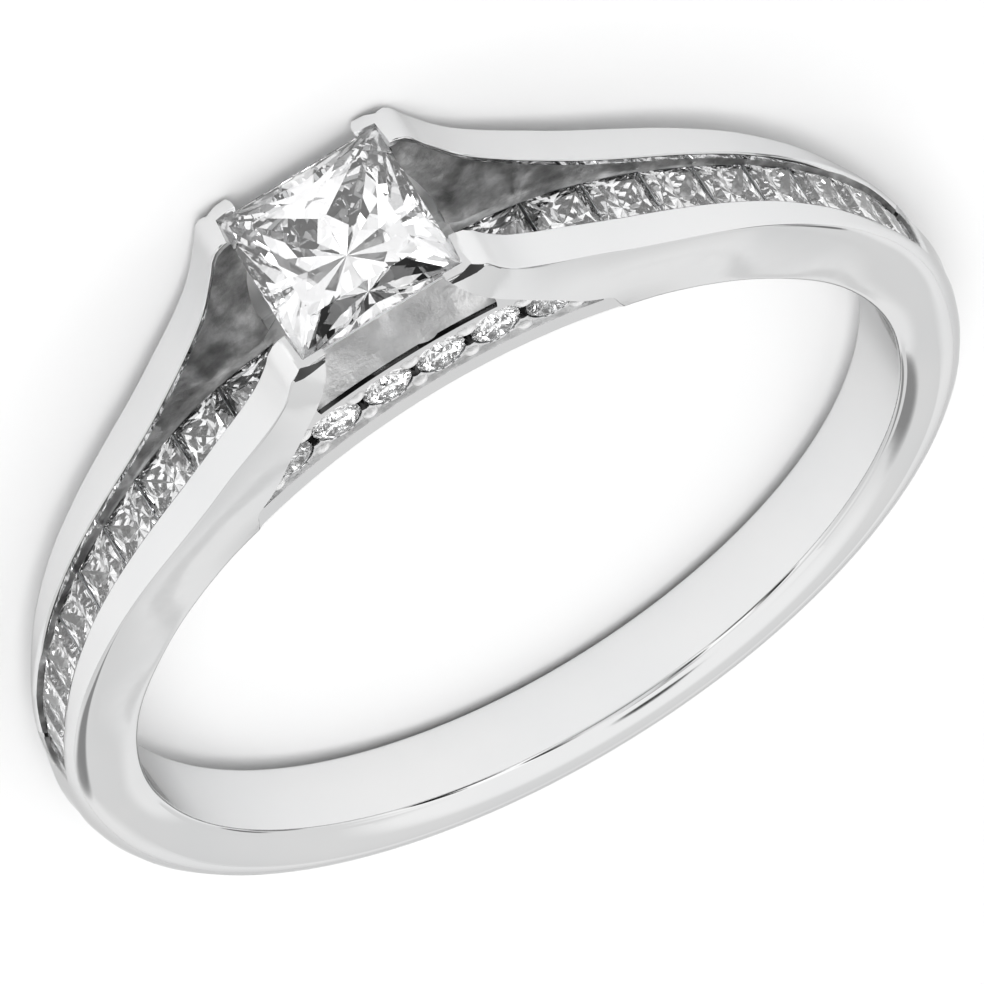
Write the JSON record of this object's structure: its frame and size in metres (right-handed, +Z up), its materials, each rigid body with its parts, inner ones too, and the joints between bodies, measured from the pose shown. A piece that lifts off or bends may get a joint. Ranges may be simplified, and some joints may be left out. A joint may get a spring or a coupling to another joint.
{
  "type": "solitaire engagement ring",
  "caption": "Square stone in four V claws over a stone-set under-bridge, with split channel-set shoulders and a plain domed band.",
  "frame": {"origin": "middle of the ring's bounding box at its lowest point, on the surface the ring lies on", "axes": "+Z up from that surface, nearly along the finger hole; -Y towards the centre stone; +X across the ring"},
  "size_m": [0.0196, 0.0232, 0.0041],
  "materials": {
    "metal": "polished white precious metal",
    "stones": "faceted clear stone"
  },
  "bodies": {
    "root": {"ring_mount": "metal", "centre_stone": "stones", "shoulder_stone_left_1": "stones", "shoulder_stone_left_2": "stones", "shoulder_stone_left_3": "stones", "shoulder_stone_left_4": "stones", "shoulder_stone_left_5": "stones", "shoulder_stone_left_6": "stones", "shoulder_stone_left_7": "stones", "shoulder_stone_left_8": "stones", "shoulder_stone_left_9": "stones", "shoulder_stone_right_1": "stones", "shoulder_stone_right_2": "stones", "shoulder_stone_right_3": "stones", "shoulder_stone_right_4": "stones", "shoulder_stone_right_5": "stones", "shoulder_stone_right_6": "stones", "shoulder_stone_right_7": "stones", "shoulder_stone_right_8": "stones", "shoulder_stone_right_9": "stones", "bridge_stone_front_1": "stones", "bridge_stone_front_2": "stones", "bridge_stone_front_3": "stones", "bridge_stone_front_4": "stones", "bridge_stone_front_5": "stones", "bridge_stone_front_6": "stones", "bridge_stone_front_7": "stones", "bridge_stone_front_8": "stones", "bridge_stone_back_1": "stones", "bridge_stone_back_2": "stones", "bridge_stone_back_3": "stones", "bridge_stone_back_4": "stones", "bridge_stone_back_5": "stones", "bridge_stone_back_6": "stones", "bridge_stone_back_7": "stones", "bridge_stone_back_8": "stones"}
  },
  "joints": []
}
